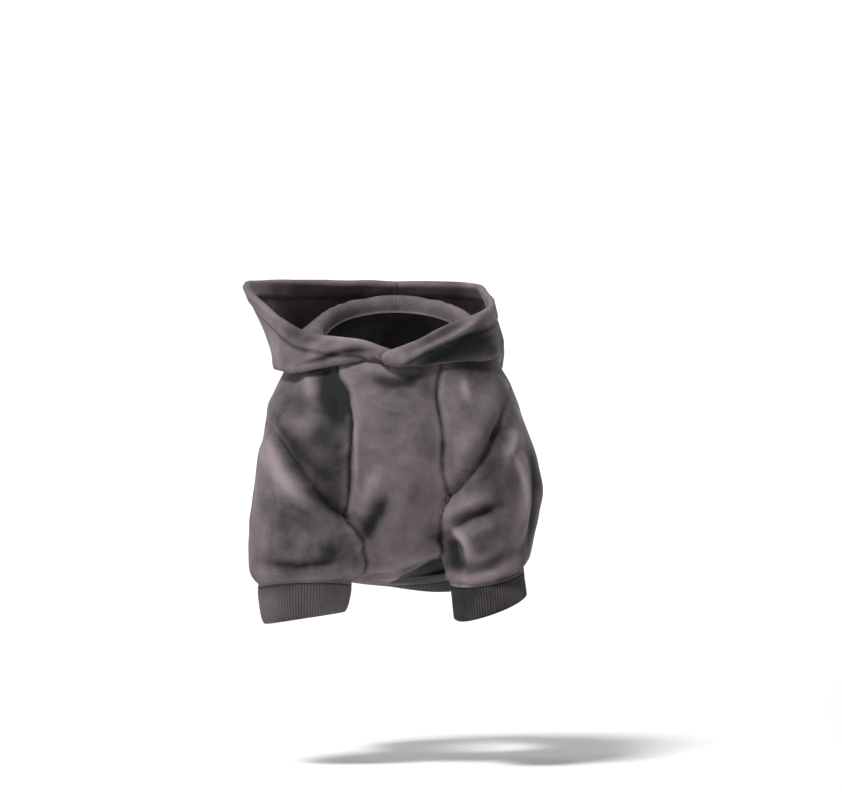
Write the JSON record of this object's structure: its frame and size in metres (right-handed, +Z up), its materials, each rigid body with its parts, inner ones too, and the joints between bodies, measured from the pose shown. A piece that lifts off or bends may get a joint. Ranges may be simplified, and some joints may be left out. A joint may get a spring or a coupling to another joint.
{
  "type": "dog costume",
  "caption": "Hooded plush pullover for a small dog, in its worn form: raglan sleeves with rib cuffs, a rib waistband and a fallen hood that crosses over in front.",
  "frame": {"origin": "on the inside of the back panel over the withers, where the pullover hangs from the dog", "axes": "+Z up, -Y the way the dog faces, +X towards the dog's left"},
  "size_m": [0.1801, 0.2287, 0.2093],
  "materials": {
    "plush": "short cut pile with a soft sheen, lighter on ridges",
    "rib": "fine matte rib knit"
  },
  "bodies": {
    "root": {"chest_panel": "plush", "back_panel": "plush", "sleeve_left": "plush", "sleeve_right": "plush", "cuff_left": "rib", "cuff_right": "rib", "waistband": "rib", "hood_left": "plush", "hood_right": "plush"}
  },
  "joints": []
}
